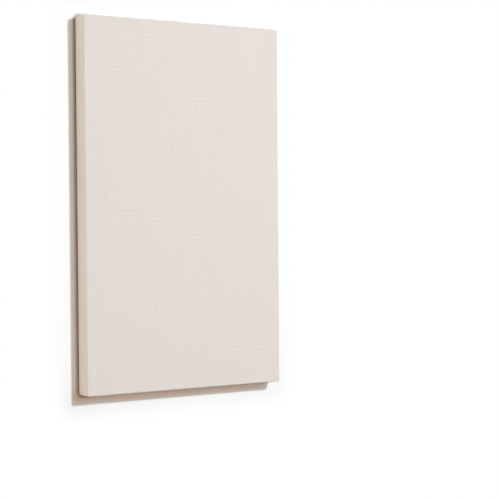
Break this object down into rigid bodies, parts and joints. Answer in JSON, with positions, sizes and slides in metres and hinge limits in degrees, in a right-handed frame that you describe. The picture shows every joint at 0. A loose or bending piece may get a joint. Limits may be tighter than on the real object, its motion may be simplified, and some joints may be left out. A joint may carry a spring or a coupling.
{
  "type": "acoustic panel",
  "caption": "Rectangular wall panel that absorbs sound: a stiff wool board wrapped in cream woven cloth, with the cloth turned and glued behind in a mitred hem.",
  "frame": {"origin": "middle of the footprint, in the plane of the turned cloth hem that the panel lies on", "axes": "+X across the panel, +Y along it towards the end that hangs uppermost, +Z out of the cloth face"},
  "size_m": [0.6, 1.0032, 0.055],
  "materials": {
    "woven_cloth": "matt cream plain weave",
    "wool_board": "resin bonded fibre wool, sawn"
  },
  "bodies": {
    "root": {"core_board": "wool_board", "fabric_cover": "woven_cloth"}
  },
  "joints": []
}
